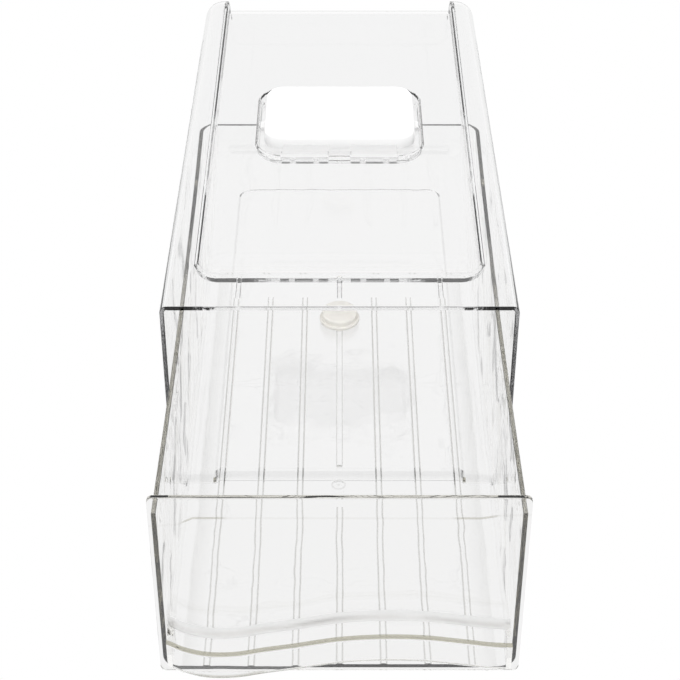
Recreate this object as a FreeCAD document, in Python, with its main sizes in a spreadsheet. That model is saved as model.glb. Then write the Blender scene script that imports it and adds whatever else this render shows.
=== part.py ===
import FreeCAD, Part
import math
import os
import Sketcher

# Fridge drawer organizer: a clear case with a sliding drawer, a white vent cap
# and a white stop button. Millimetres, +Z up, the drawer opens towards -Y.
# The drawer is modelled open, where its slot rests on the stop button.

os.makedirs("parts", exist_ok=True)

DIMS = {
    # case shell
    "case_width": 158.0,
    "case_taper": 3.4,
    "case_depth": 309.0,
    "case_height": 104.0,
    "case_wall": 1.9,
    "case_edge_radius": 4.5,
    "case_back_edge_radius": 9.0,
    # lowered panel in the top of the case
    "rail_width": 15.5,
    "recess_drop": 4.0,
    "recess_front": 27.0,
    "recess_radius": 9.0,
    # well in the panel for the vent cap
    "well_side_gap": 2.8,
    "well_front": 136.7,
    "well_front_gap": 12.9,
    "well_back_gap": 3.1,
    "well_drop": 4.4,
    "well_radius": 13.0,
    "ramp_run": 11.3,
    "ramp_width": 23.0,
    "ramp_offset": 17.5,
    "vent_length": 26.0,
    "vent_width": 3.0,
    "vent_pitch": 12.0,
    # gussets behind the front top band
    "gusset_pitch": 44.9,
    "gusset_thickness": 2.0,
    "gusset_start": 7.5,
    # raised floor bed, hollow from below
    "bed_rise": 2.0,
    "foot_strip": 21.4,
    "bed_back_margin": 50.2,
    "bed_radius": 6.1,
    # drawer tray
    "drawer_side_gap": 2.4,
    "drawer_back_margin": 10.1,
    "drawer_top_gap": 2.9,
    "tray_wall": 1.9,
    "tray_corner_radius": 8.0,
    "tray_bottom_radius": 7.0,
    "bed_clearance": 0.3,
    "rib_pitch": 18.4,
    "rib_width": 2.2,
    "rib_height": 1.0,
    "rib_back": 143.5,
    "centre_rib_back": -20.4,
    # drawer front plate and its finger hood
    "plate_overhang": 1.3,
    "plate_drop": 0.9,
    "plate_top_gap": 2.3,
    "plate_thickness": 1.9,
    "plate_radius": 2.5,
    "hood_reach": 12.5,
    "hood_drop": 13.3,
    "hood_inset": 4.8,
    "hood_wall": 1.9,
    "hood_edge_radius": 0.4,
    "foot_radius": 0.9,
    "foot_drop": 0.6,
    "foot_offset": 61.4,
    "plate_extension": 119.5,
    "weld_gap": 0.1,
    # stop button
    "button_setback": 124.5,
    "head_radius": 9.3,
    "head_height": 3.0,
    "flange_radius": 10.5,
    "flange_height": 1.9,
    "neck_width": 1.9,
    "neck_length": 3.0,
    "stem_length": 1.6,
    "stem_drop": 3.4,
    "button_clearance": 0.3,
    "slot_clearance": 0.2,
    "slot_front": 8.0,
    "boss_radius": 4.5,
    "boss_foot": 0.3,
    # vent cap
    "cap_width": 77.0,
    "cap_length": 52.3,
    "cap_wall": 1.8,
    "cap_radius": 9.5,
    "cap_edge_radius": 3.0,
    "cap_slot_width": 23.5,
    "cap_slot_offset": 17.25,
    "cap_slot_height": 2.3,
    "catch_reach": 2.3,
    "catch_length": 6.0,
    "catch_height": 2.0,
    "catch_setback": 171.0,
}

# Heights of the hood's upper edge above the table, across the width.
HOOD_WAVE = [
    (-69.5, 32.8),
    (-58.0, 27.2),
    (-47.0, 25.6),
    (-32.0, 28.2),
    (-8.0, 33.1),
    (10.0, 35.6),
    (24.0, 36.0),
    (40.0, 34.9),
    (56.0, 32.2),
    (69.5, 30.9),
]

doc = FreeCAD.newDocument("organizer")
sheet = doc.addObject("Spreadsheet::Sheet", "dims")
for row, (alias, value) in enumerate(DIMS.items(), start=1):
    sheet.set("A%d" % row, alias)
    sheet.set("B%d" % row, repr(value))
    sheet.setAlias("B%d" % row, alias)

# Derived sizes are formulas in the same sheet, so every fit follows its source.
DERIVED = {
    "case_back_width": "case_width - case_taper",
    "recess_width": "case_width - 2 * rail_width",
    "bed_width": "case_width - 2 * foot_strip",
    "bed_length": "case_depth - bed_back_margin",
    "well_width": "cap_width + 2 * well_side_gap",
    "well_length": "cap_length + well_front_gap + well_back_gap",
    "cap_front": "well_front + well_front_gap",
    "cap_height": "recess_drop + well_drop",
    # the origin lies under the middle of the open organizer's outline
    "case_front_y": "-(case_depth - plate_extension - hood_reach) / 2",
    "bed_top": "bed_rise + case_wall",
    "panel_top": "case_height - recess_drop",
    "well_top": "case_height - recess_drop - well_drop",
    "tray_base": "bed_rise + case_wall + bed_clearance",
    "floor_top": "bed_rise + case_wall + bed_clearance + tray_wall",
    "plate_back_y": "case_front_y - plate_extension + plate_thickness",
    "tray_front_y": "plate_back_y + weld_gap",
    "button_y": "case_front_y + button_setback",
    "flange_base": "floor_top + button_clearance",
    "tray_width": "case_back_width - 2 * case_wall - 2 * drawer_side_gap",
    "tray_length": "case_depth - drawer_back_margin",
    "tray_height": "well_top - case_wall - drawer_top_gap - tray_base",
    "plate_width": "tray_width + 2 * plate_overhang",
    "plate_base": "tray_base - plate_drop",
    "plate_height": "case_height - case_wall - plate_top_gap - plate_base",
    "hood_width": "plate_width - 2 * hood_inset",
    "slot_width": "neck_width + 2 * slot_clearance",
    "slot_back": "button_setback + neck_length / 2 + button_clearance",
}
row = len(DIMS) + 1
for alias, formula in DERIVED.items():
    sheet.set("A%d" % row, alias)
    sheet.set("B%d" % row, "=" + formula)
    sheet.setAlias("B%d" % row, alias)
    row += 1
scratch = doc.addObject("Spreadsheet::Sheet", "scratch")
doc.recompute()


def val(name):
    """Current value of one sheet entry."""
    return float(getattr(sheet, name))


def expr(text):
    """Turn a formula of sheet names into one that FreeCAD reads from the sheet."""
    words = sorted(list(DIMS) + list(DERIVED), key=len, reverse=True)
    out = ""
    token = ""
    for ch in text + " ":
        if ch.isalnum() or ch == "_" or ch == ".":
            token += ch
            continue
        if token in words:
            token = "dims." + token
        out += token + ch
        token = ""
    return out.strip()


def number(text):
    """Value of a formula of sheet names, worked out in a sheet of its own."""
    scratch.set("A1", "=" + expr(text))
    scratch.recompute()
    return float(scratch.get("A1"))


def new_body(label):
    """One PartDesign body per piece."""
    body = doc.addObject("PartDesign::Body", label)
    body.Label = label
    return body


def new_sketch(body, role, label, offset="0"):
    """Sketch on one of the body's origin planes, moved along that plane's normal."""
    sketch = body.newObject("Sketcher::SketchObject", label)
    plane = [f for f in body.Origin.OriginFeatures if f.Role == role][0]
    sketch.AttachmentSupport = [(plane, "")]
    sketch.MapMode = "FlatFace"
    sketch.setExpression("AttachmentOffset.Base.z", "(" + expr(offset) + ") * 1 mm")
    return sketch


def constrain(sketch, kind, geo, pos, text):
    """Signed coordinate of a point, measured from the origin, from a formula."""
    index = sketch.addConstraint(
        Sketcher.Constraint(kind, -1, 1, geo, pos, number(text)))
    sketch.setExpression("Constraints[%d]" % index, "(" + expr(text) + ") * 1 mm")


def polygon(sketch, corners):
    """Closed straight outline; each corner is a pair of formulas."""
    points = [FreeCAD.Vector(number(x), number(y), 0) for x, y in corners]
    first = sketch.GeometryCount
    count = len(points)
    for i in range(count):
        sketch.addGeometry(Part.LineSegment(points[i], points[(i + 1) % count]))
    for i in range(count):
        after = first + (i + 1) % count
        sketch.addConstraint(
            Sketcher.Constraint("Coincident", first + i, 2, after, 1))
    for i in range(count):
        x, y = corners[i]
        constrain(sketch, "DistanceX", first + i, 1, x)
        constrain(sketch, "DistanceY", first + i, 1, y)


def box_outline(sketch, left, right, low, high):
    """Rectangle between four formulas."""
    polygon(sketch, [(left, low), (right, low), (right, high), (left, high)])


def rounded_outline(sketch, left, right, low, high, radius):
    """Rectangle between four formulas with equal round corners."""
    x0, x1 = number(left), number(right)
    y0, y1 = number(low), number(high)
    r = number(radius)
    v = FreeCAD.Vector
    first = sketch.GeometryCount
    sketch.addGeometry(Part.LineSegment(v(x0 + r, y0, 0), v(x1 - r, y0, 0)))
    sketch.addGeometry(Part.LineSegment(v(x1, y0 + r, 0), v(x1, y1 - r, 0)))
    sketch.addGeometry(Part.LineSegment(v(x1 - r, y1, 0), v(x0 + r, y1, 0)))
    sketch.addGeometry(Part.LineSegment(v(x0, y1 - r, 0), v(x0, y0 + r, 0)))
    centres = [(x1 - r, y0 + r, 270), (x1 - r, y1 - r, 0),
               (x0 + r, y1 - r, 90), (x0 + r, y0 + r, 180)]
    for cx, cy, start in centres:
        circle = Part.Circle(v(cx, cy, 0), v(0, 0, 1), r)
        a0 = math.radians(start)
        sketch.addGeometry(Part.ArcOfCircle(circle, a0, a0 + math.pi / 2))
    for i in range(4):
        arc = first + 4 + i
        after = first + (i + 1) % 4
        sketch.addConstraint(Sketcher.Constraint("Tangent", first + i, 2, arc, 1))
        sketch.addConstraint(Sketcher.Constraint("Tangent", arc, 2, after, 1))
    for i in (0, 2):
        sketch.addConstraint(Sketcher.Constraint("Horizontal", first + i))
    for i in (1, 3):
        sketch.addConstraint(Sketcher.Constraint("Vertical", first + i))
    for i in range(1, 4):
        sketch.addConstraint(
            Sketcher.Constraint("Equal", first + 4, first + 4 + i))
    index = sketch.addConstraint(Sketcher.Constraint("Radius", first + 4, r))
    sketch.setExpression("Constraints[%d]" % index, "(" + expr(radius) + ") * 1 mm")
    constrain(sketch, "DistanceY", first, 1, low)
    constrain(sketch, "DistanceX", first + 1, 1, right)
    constrain(sketch, "DistanceY", first + 2, 1, high)
    constrain(sketch, "DistanceX", first + 3, 1, left)


def circle_outline(sketch, x, y, radius):
    """Circle about a point given by formulas."""
    centre = FreeCAD.Vector(number(x), number(y), 0)
    geo = sketch.GeometryCount
    sketch.addGeometry(
        Part.Circle(centre, FreeCAD.Vector(0, 0, 1), number(radius)))
    index = sketch.addConstraint(
        Sketcher.Constraint("Radius", geo, number(radius)))
    sketch.setExpression("Constraints[%d]" % index, "(" + expr(radius) + ") * 1 mm")
    constrain(sketch, "DistanceX", geo, 3, x)
    constrain(sketch, "DistanceY", geo, 3, y)


def feature(body, kind, label, sketch, length, reverse=False, midplane=False):
    """Pad or pocket of one sketch by a formula."""
    item = body.newObject("PartDesign::" + kind, label)
    item.Profile = sketch
    item.Length = number(length)
    item.setExpression("Length", "(" + expr(length) + ") * 1 mm")
    item.Reversed = reverse
    if midplane:
        item.SideType = "Symmetric"
    sketch.Visibility = False
    doc.recompute()
    return item


def round_edges(body, label, base, names, radius):
    """Constant fillet of named edges of a feature."""
    item = body.newObject("PartDesign::Fillet", label)
    item.Base = (base, names)
    item.Radius = number(radius)
    item.setExpression("Radius", "(" + expr(radius) + ") * 1 mm")
    doc.recompute()
    return item


def edges_where(item, test):
    """Names of a feature's edges whose bounding box passes a test."""
    names = []
    for i, edge in enumerate(item.Shape.Edges, start=1):
        if test(edge.BoundBox):
            names.append("Edge%d" % i)
    return names


def near(a, b):
    return abs(a - b) < 0.01


# ---------------------------------------------------------------- case
# An XZ-plane sketch faces -Y, so an offset of minus y puts it at that y.
def case_form(label, inset):
    """Tapered round-edged block with the recess, well and bed cut into it.

    The same form is built twice: at full size for the outside, and set in by the
    wall for the space inside.
    """
    body = new_body(label)
    grow = "case_wall" if inset else "0"
    plan = new_sketch(body, "XY_Plane", label + "_plan", grow)
    end = "case_front_y + case_depth - %s" % grow
    polygon(plan, [
        ("-case_width / 2 + %s" % grow, "case_front_y"),
        ("case_width / 2 - %s" % grow, "case_front_y"),
        ("case_back_width / 2 - %s" % grow, end),
        ("-case_back_width / 2 + %s" % grow, end),
    ])
    block = feature(body, "Pad", label + "_block", plan,
                    "case_height - 2 * %s" % grow)
    block = round_edges(
        body, label + "_long_edges", block,
        edges_where(block, lambda b: b.YLength > number("case_depth / 2")),
        "case_edge_radius - %s" % grow)
    back = number(end)
    round_edges(
        body, label + "_back_edges", block,
        edges_where(block, lambda b: near(b.YMin, back) and near(b.YMax, back)),
        "case_back_edge_radius - %s" % grow)

    recess = new_sketch(body, "XY_Plane", label + "_recess", "case_height")
    rounded_outline(recess, "-recess_width / 2 - %s" % grow,
                    "recess_width / 2 + %s" % grow,
                    "case_front_y + recess_front - %s" % grow,
                    "case_front_y + case_depth + 3 * recess_radius",
                    "recess_radius + %s" % grow)
    feature(body, "Pocket", label + "_recess_cut", recess,
            "recess_drop + %s" % grow)

    well = new_sketch(body, "XY_Plane", label + "_well", "case_height")
    rounded_outline(well, "-well_width / 2 - %s" % grow,
                    "well_width / 2 + %s" % grow,
                    "case_front_y + well_front - %s" % grow,
                    "case_front_y + well_front + well_length + %s" % grow,
                    "well_radius + %s" % grow)
    feature(body, "Pocket", label + "_well_cut", well,
            "recess_drop + well_drop + %s" % grow)

    bed = new_sketch(body, "XY_Plane", label + "_bed")
    rounded_outline(bed, "-bed_width / 2 - %s" % grow,
                    "bed_width / 2 + %s" % grow,
                    "case_front_y - 3 * bed_radius",
                    "case_front_y + bed_length + %s" % grow,
                    "bed_radius + %s" % grow)
    feature(body, "Pocket", label + "_bed_cut", bed, "bed_rise + %s" % grow,
            reverse=True)
    return body


case = case_form("case", False)
space = case_form("case_space", True)
shell = case.newObject("PartDesign::Boolean", "case_shell")
shell.setObjects([space])
shell.Type = "Cut"
doc.recompute()

# Gussets tie the front top band to the recess step.
for place, tag in (("-gusset_pitch", "left"), ("0", "middle"),
                   ("gusset_pitch", "right")):
    gusset = new_sketch(case, "YZ_Plane", "gusset_" + tag, place)
    polygon(gusset, [
        ("case_front_y + gusset_start", "case_height - case_wall"),
        ("case_front_y + recess_front - case_wall",
         "case_height - case_wall - recess_drop"),
        ("case_front_y + recess_front - case_wall / 2",
         "case_height - case_wall - recess_drop"),
        ("case_front_y + recess_front - case_wall / 2",
         "case_height - case_wall / 2"),
        ("case_front_y + gusset_start", "case_height - case_wall / 2"),
    ])
    feature(case, "Pad", "gusset_pad_" + tag, gusset, "gusset_thickness",
            midplane=True)

# Two ramps slope from the panel down into the well.
for sign, tag in (("-", "left"), ("", "right")):
    ramp = new_sketch(case, "YZ_Plane", "ramp_" + tag, sign + "ramp_offset")
    polygon(ramp, [
        ("case_front_y + well_front - case_wall / 2", "well_top - case_wall / 2"),
        ("case_front_y + well_front + ramp_run", "well_top - case_wall / 2"),
        ("case_front_y + well_front + ramp_run", "well_top"),
        ("case_front_y + well_front", "panel_top"),
        ("case_front_y + well_front - case_wall / 2", "panel_top"),
    ])
    feature(case, "Pad", "ramp_pad_" + tag, ramp, "ramp_width", midplane=True)

# Vent slots in the well floor, hidden under the cap.
vents = new_sketch(case, "XY_Plane", "vent_slots", "case_height")
for step in (-2, -1, 0, 1, 2):
    rounded_outline(
        vents,
        "%d * vent_pitch - vent_width / 2" % step,
        "%d * vent_pitch + vent_width / 2" % step,
        "case_front_y + cap_front + cap_length / 2 - vent_length / 2",
        "case_front_y + cap_front + cap_length / 2 + vent_length / 2",
        "vent_width / 2 * 0.9")
feature(case, "Pocket", "vent_pocket", vents,
        "recess_drop + well_drop + 2 * case_wall")

# Boss under the bed with the socket of the stop button.
boss = new_sketch(case, "XY_Plane", "boss_outline", "boss_foot")
circle_outline(boss, "0", "button_y", "boss_radius")
feature(case, "Pad", "boss_pad", boss, "bed_rise + case_wall / 2 - boss_foot")
socket = new_sketch(case, "XY_Plane", "socket_outline", "bed_top")
box_outline(socket, "-neck_width / 2 - button_clearance",
            "neck_width / 2 + button_clearance",
            "button_y - stem_length / 2 - button_clearance",
            "button_y + stem_length / 2 + button_clearance")
feature(case, "Pocket", "socket_pocket", socket, "bed_top")

# ---------------------------------------------------------------- drawer tray
def tray_form(label, inset):
    """Block with two round back corners and a round lower edge on three sides.

    Built at full size for the tray and set in by the wall for its inside, which
    runs out through the open front end that the face plate closes.
    """
    body = new_body(label)
    grow = "tray_wall" if inset else "0"
    start = "tray_front_y - %s" % grow
    end = "tray_front_y + tray_length - %s" % grow
    plan = new_sketch(body, "XY_Plane", label + "_plan", "tray_base + %s" % grow)
    box_outline(plan, "-tray_width / 2 + %s" % grow,
                "tray_width / 2 - %s" % grow, start, end)
    block = feature(body, "Pad", label + "_block", plan, "tray_height")
    front, back = number(start), number(end)
    low = number("tray_base + %s" % grow)
    block = round_edges(
        body, label + "_corners", block,
        edges_where(block, lambda b: near(b.YMin, back) and near(b.YMax, back)
                    and near(b.XMin, b.XMax)),
        "tray_corner_radius - %s" % grow)
    round_edges(
        body, label + "_rounding", block,
        edges_where(block, lambda b: near(b.ZMin, low) and near(b.ZMax, low)
                    and not near(b.YMax, front)),
        "tray_bottom_radius - %s" % grow)
    return body


tray = tray_form("drawer_tray", False)
load = tray_form("tray_space", True)
hollow = tray.newObject("PartDesign::Boolean", "tray_shell")
hollow.setObjects([load])
hollow.Type = "Cut"
doc.recompute()

# Lengthwise ribs on the tray floor; the middle one is only a short front piece.
ribs = new_sketch(tray, "XY_Plane", "rib_outlines", "floor_top - tray_wall / 2")
for step in (-3, -2, -1, 1, 2, 3):
    box_outline(ribs, "%d * rib_pitch - rib_width / 2" % step,
                "%d * rib_pitch + rib_width / 2" % step,
                "tray_front_y", "case_front_y + rib_back")
box_outline(ribs, "-rib_width / 2", "rib_width / 2",
            "tray_front_y", "case_front_y + centre_rib_back")
feature(tray, "Pad", "rib_pad", ribs, "tray_wall / 2 + rib_height")

# Slot that runs on the neck of the stop button.
slot = new_sketch(tray, "XY_Plane", "slot_outline", "floor_top")
box_outline(slot, "-slot_width / 2", "slot_width / 2",
            "case_front_y + slot_front", "case_front_y + slot_back")
feature(tray, "Pocket", "slot_pocket", slot, "tray_wall")

# ---------------------------------------------------------------- drawer front
face = new_body("drawer_front")


def wave(lower):
    """Corner points of the hood's wavy edge, lowered by a distance."""
    return [FreeCAD.Vector(x, z - lower, 0) for x, z in HOOD_WAVE]


def wave_band(sketch, half, drop_top, drop_low):
    """Outline between two lowered copies of the wave, ended at plus/minus half."""
    top = [p for p in wave(drop_top) if abs(p.x) < half]
    low = [p for p in wave(drop_low) if abs(p.x) < half]
    for line, lowered in ((top, drop_top), (low, drop_low)):
        left, right = wave(lowered)[0], wave(lowered)[-1]
        line.insert(0, FreeCAD.Vector(-half, left.y, 0))
        line.append(FreeCAD.Vector(half, right.y, 0))
    upper = Part.BSplineCurve()
    upper.interpolate(top)
    under = Part.BSplineCurve()
    under.interpolate(low)
    sketch.addGeometry(upper)
    sketch.addGeometry(Part.LineSegment(top[-1], low[-1]))
    sketch.addGeometry(under)
    sketch.addGeometry(Part.LineSegment(low[0], top[0]))


hood = new_sketch(face, "XZ_Plane", "hood_outline",
                  "-(plate_back_y - plate_thickness)")
wave_band(hood, val("hood_width") / 2, 0.0, val("hood_drop"))
pad = feature(face, "Pad", "hood_pad", hood, "hood_reach")
tip = number("plate_back_y - plate_thickness - hood_reach")
half = val("hood_width") / 2
round_edges(
    face, "hood_rounding", pad,
    edges_where(pad, lambda b: near(b.YMax, tip) and b.ZMax > HOOD_WAVE[-1][1]
                and b.XLength > half),
    "hood_edge_radius")

hollow_sketch = new_sketch(face, "XZ_Plane", "hood_inside",
                           "-(plate_back_y - plate_thickness)")
wave_band(hollow_sketch, val("hood_width") / 2 - val("hood_wall"),
          val("hood_wall"), val("hood_drop") + val("hood_wall"))
feature(face, "Pocket", "hood_hollow", hollow_sketch,
        "hood_reach - hood_wall", reverse=True)
plate = new_sketch(face, "XZ_Plane", "plate_outline", "-plate_back_y")
rounded_outline(plate, "-plate_width / 2", "plate_width / 2", "plate_base",
                "plate_base + plate_height", "plate_radius")
feature(face, "Pad", "plate_pad", plate, "plate_thickness")
feet = new_sketch(face, "XY_Plane", "feet_outline", "plate_base - foot_drop")
for sign in ("-", ""):
    circle_outline(feet, sign + "foot_offset",
                   "plate_back_y - plate_thickness / 2", "foot_radius")
feature(face, "Pad", "foot_pad", feet, "foot_drop + plate_thickness / 2")

# ---------------------------------------------------------------- stop button
button = new_body("stop_button")
ring = new_sketch(button, "XY_Plane", "flange_outline", "flange_base")
circle_outline(ring, "0", "button_y", "flange_radius")
feature(button, "Pad", "flange_pad", ring, "flange_height")
head = new_sketch(button, "XY_Plane", "head_outline",
                  "flange_base + flange_height")
circle_outline(head, "0", "button_y", "head_radius")
feature(button, "Pad", "head_pad", head, "head_height")
neck = new_sketch(button, "XY_Plane", "neck_outline", "bed_top")
box_outline(neck, "-neck_width / 2", "neck_width / 2",
            "button_y - neck_length / 2", "button_y + neck_length / 2")
feature(button, "Pad", "neck_pad", neck, "flange_base - bed_top")
stem = new_sketch(button, "XY_Plane", "stem_outline", "bed_top - stem_drop")
box_outline(stem, "-neck_width / 2", "neck_width / 2",
            "button_y - stem_length / 2", "button_y + stem_length / 2")
feature(button, "Pad", "stem_pad", stem, "stem_drop")

# ---------------------------------------------------------------- vent cap
cap = new_body("vent_cap")
outline = new_sketch(cap, "XY_Plane", "cap_outline", "well_top")
rounded_outline(outline, "-cap_width / 2", "cap_width / 2",
                "case_front_y + cap_front",
                "case_front_y + cap_front + cap_length", "cap_radius")
block = feature(cap, "Pad", "cap_block", outline, "cap_height")
high = number("well_top + cap_height")
block = round_edges(
    cap, "cap_top_rounding", block,
    edges_where(block, lambda b: near(b.ZMin, high) and near(b.ZMax, high)),
    "cap_edge_radius")
core = new_sketch(cap, "XY_Plane", "cap_inside", "well_top")
rounded_outline(core, "-cap_width / 2 + cap_wall", "cap_width / 2 - cap_wall",
                "case_front_y + cap_front + cap_wall",
                "case_front_y + cap_front + cap_length - cap_wall",
                "cap_radius - cap_wall")
feature(cap, "Pocket", "cap_hollow", core, "cap_height - cap_wall",
        reverse=True)
mouths = new_sketch(cap, "XZ_Plane", "cap_slots",
                    "-(case_front_y + cap_front)")
for sign in ("-", ""):
    box_outline(mouths,
                sign + "cap_slot_offset - cap_slot_width / 2",
                sign + "cap_slot_offset + cap_slot_width / 2",
                "well_top", "well_top + cap_slot_height")
feature(cap, "Pocket", "cap_slot_pocket", mouths, "2 * cap_wall")
catches = new_sketch(cap, "XY_Plane", "catch_outlines", "well_top")
box_outline(catches, "cap_width / 2 - cap_wall / 2",
            "cap_width / 2 + catch_reach",
            "case_front_y + catch_setback - catch_length / 2",
            "case_front_y + catch_setback + catch_length / 2")
box_outline(catches, "-cap_width / 2 - catch_reach",
            "-cap_width / 2 + cap_wall / 2",
            "case_front_y + catch_setback - catch_length / 2",
            "case_front_y + catch_setback + catch_length / 2")
feature(cap, "Pad", "catch_pad", catches, "catch_height")

# ---------------------------------------------------------------- checks, export
pieces = [case, tray, face, button, cap]
doc.recompute()
for item in doc.Objects:
    if "Invalid" in item.State or "Error" in item.State:
        raise RuntimeError("%s did not recompute: %s" % (item.Label, item.State))
for piece in pieces:
    shape = piece.Shape
    if shape.isNull() or not shape.isValid():
        raise RuntimeError("%s has no valid shape" % piece.Label)
    if len(shape.Solids) != 1 or shape.Volume <= 0:
        raise RuntimeError("%s is not one solid" % piece.Label)
    shape.exportStep(os.path.join("parts", piece.Label + ".step"))
    box = shape.BoundBox
    print("%-13s %9.0f mm3  x %7.2f %7.2f  y %7.2f %7.2f  z %6.2f %6.2f" % (
        piece.Label, shape.Volume, box.XMin, box.XMax, box.YMin, box.YMax,
        box.ZMin, box.ZMax))
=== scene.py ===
import math

import bmesh
import bpy
import numpy as np
from bpy.props import FloatProperty, FloatVectorProperty, PointerProperty
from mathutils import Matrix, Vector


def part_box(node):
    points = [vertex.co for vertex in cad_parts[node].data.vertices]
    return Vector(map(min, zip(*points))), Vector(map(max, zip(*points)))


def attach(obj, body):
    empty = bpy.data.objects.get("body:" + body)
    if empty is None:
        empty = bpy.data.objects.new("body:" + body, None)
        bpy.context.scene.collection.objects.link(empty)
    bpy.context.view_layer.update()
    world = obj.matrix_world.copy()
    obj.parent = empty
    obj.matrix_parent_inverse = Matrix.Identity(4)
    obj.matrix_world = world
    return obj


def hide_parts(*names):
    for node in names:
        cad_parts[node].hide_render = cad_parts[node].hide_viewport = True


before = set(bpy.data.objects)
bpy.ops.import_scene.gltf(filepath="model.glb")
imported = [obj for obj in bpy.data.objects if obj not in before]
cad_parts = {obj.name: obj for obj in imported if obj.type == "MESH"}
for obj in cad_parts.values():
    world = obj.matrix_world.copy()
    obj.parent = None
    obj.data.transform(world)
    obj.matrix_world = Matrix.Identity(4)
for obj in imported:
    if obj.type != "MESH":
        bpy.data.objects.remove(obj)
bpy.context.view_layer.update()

bl_info = {
    "name": "Fridge drawer organizer",
    "version": (1, 0, 0),
    "blender": (4, 2, 0),
    "location": "View3D > Sidebar > Organizer",
    "description": "Visual pieces, plastics and studio of a clear fridge drawer organizer",
    "category": "Object",
}

MM = 0.001
WELD = 0.0002
# Edges that bend by more than this many degrees are drawn sharp.
SHARP, SHARP_TURNED = 40, 50


def mm(length):
    """A length in metres as millimetres, rounded to a ten-thousandth."""
    return round(length / MM, 4)


# Sizes taken from the frame, in millimetres. Depth d runs back from the case's
# front, so a point's model y is d plus CASE_Y.
CASE_LOW, CASE_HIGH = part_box("case")
TRAY_MIN, TRAY_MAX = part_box("drawer_tray")
FRONT_MIN, FRONT_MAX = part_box("drawer_front")
CASE_Y = mm(CASE_LOW.y)
CASE_HALF, HEIGHT = mm(CASE_HIGH.x), mm(CASE_HIGH.z)
DEPTH = mm(CASE_HIGH.y) - CASE_Y
TRAY_HALF, TRAY_LOW, TRAY_RIM = mm(TRAY_MAX.x), mm(TRAY_MIN.z), mm(TRAY_MAX.z)
TRAY_FRONT, TRAY_BACK = mm(TRAY_MIN.y) - CASE_Y, mm(TRAY_MAX.y) - CASE_Y
PLATE_HALF, PLATE_TOP = mm(FRONT_MAX.x), mm(FRONT_MAX.z)
PLATE_BACK = mm(FRONT_MAX.y) - CASE_Y
HOOD_TIP = mm(FRONT_MIN.y) - CASE_Y
FOOT_LOW = mm(FRONT_MIN.z)


# ------------------------------------------------------------------ settings
def length(name, text, default, top=0.1):
    """Length property in metres."""
    return FloatProperty(name=name, description=text, default=default, min=0.0, max=top,
                         subtype="DISTANCE", unit="LENGTH", precision=5)


def colour(name, text, default):
    """Colour property without alpha."""
    return FloatVectorProperty(name=name, description=text, default=default,
                               subtype="COLOR", min=0.0, max=1.0)


class CaseSettings(bpy.types.PropertyGroup):
    """Sizes of the case."""
    wall: length("Wall", "Thickness of the case's walls", 0.0019)
    recess_drop: length("Panel drop", "How far the top panel lies below the rim", 0.004)
    well_drop: length("Well drop", "How far the cap's well lies below the panel", 0.0044)
    bed_rise: length("Bed rise", "How far the raised bed stands above the floor", 0.002)
    panel_bend: length("Back bend", "Radius at which the panel turns down at the back", 0.014)


class DrawerSettings(bpy.types.PropertyGroup):
    """Sizes of the drawer's tray."""
    wall: length("Wall", "Thickness of the tray's walls and floor", 0.0019)
    rib_rise: length("Rib rise", "Height of the lengthwise ribs", 0.0005)
    rib_width: length("Rib width", "Width of one rib with its flanks", 0.0033)
    bow: length("Bow", "How far the long sides bow in at the middle", 0.0012)


class FrontSettings(bpy.types.PropertyGroup):
    """Sizes of the drawer's front."""
    hood_drop: length("Hood drop", "Height of the hood's skirt", 0.0133)
    hood_wall: length("Hood wall", "Thickness of the hood", 0.0019)
    hood_half: length("Hood half width", "Half the width of the hood", 0.0695)
    fillet: length("Fillet", "Radius between the plate and the hood", 0.0028)


class PlasticSettings(bpy.types.PropertyGroup):
    """Colours and optics of the plastics."""
    case_tint: colour("Case tint", "Colour that the case takes in depth", (0.888, 0.888, 0.89))
    case_density: FloatProperty(name="Case density", description="Absorption in the case per metre",
                                default=20.0, min=0.0)
    drawer_tint: colour("Drawer tint", "Colour that the drawer takes in depth", (0.84, 0.83, 0.79))
    drawer_density: FloatProperty(name="Drawer density", description="Absorption in the drawer per metre",
                                  default=18.0, min=0.0)
    # The edge colour is painted shade: mixed into the clear plastic, it darkens the case's pips and the
    # front's edges, lip and parting line.
    edge_shade: colour("Edge tint", "Colour of moulded edges seen through the wall", (0.34, 0.32, 0.23))
    refraction: FloatProperty(name="Refraction", description="Index of refraction of the clear plastic",
                              default=1.5, min=1.0, max=2.0)
    roughness: FloatProperty(name="Roughness", description="Roughness of the clear surfaces",
                             default=0.01, min=0.0, max=1.0, subtype="FACTOR")
    cap: colour("Cap", "Colour of the vent cap", (0.93, 0.93, 0.93))
    button: colour("Button", "Colour of the stop button", (0.93, 0.915, 0.88))


class StageSettings(bpy.types.PropertyGroup):
    """Camera, floor and lamps."""
    lens: FloatProperty(name="Lens", description="Focal length", default=91.38, min=10.0, unit="CAMERA")
    shown: FloatProperty(name="Floor shown", description="Floor brightness seen directly",
                         default=1.0, min=0.0)
    lit: FloatProperty(name="Floor lit", description="Floor brightness seen through plastic",
                       default=0.89, min=0.0)
    top_lamp: FloatProperty(name="Top lamp", description="Power of the lamp overhead", default=30.0,
                            min=0.0, subtype="POWER", unit="POWER")
    side_lamps: FloatProperty(name="Side lamps", description="Power of the lamp at each side", default=6.0,
                              min=0.0, subtype="POWER", unit="POWER")
    front_lamp: FloatProperty(name="Front lamp", description="Power of the lamp in front", default=14.0,
                              min=0.0, subtype="POWER", unit="POWER")


# ------------------------------------------------------------------ mesh tools
def quads(rows, cols, wrap=False):
    """Index quads of a rows x cols point grid, closed round in cols if wrap."""
    i = np.arange(rows - 1)[:, None]
    j = np.arange(cols if wrap else cols - 1)[None, :]
    k = (j + 1) % cols
    a, b = i * cols + j, i * cols + k
    return np.stack([a, b, b + cols, a + cols], -1).reshape(-1, 4)


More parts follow.
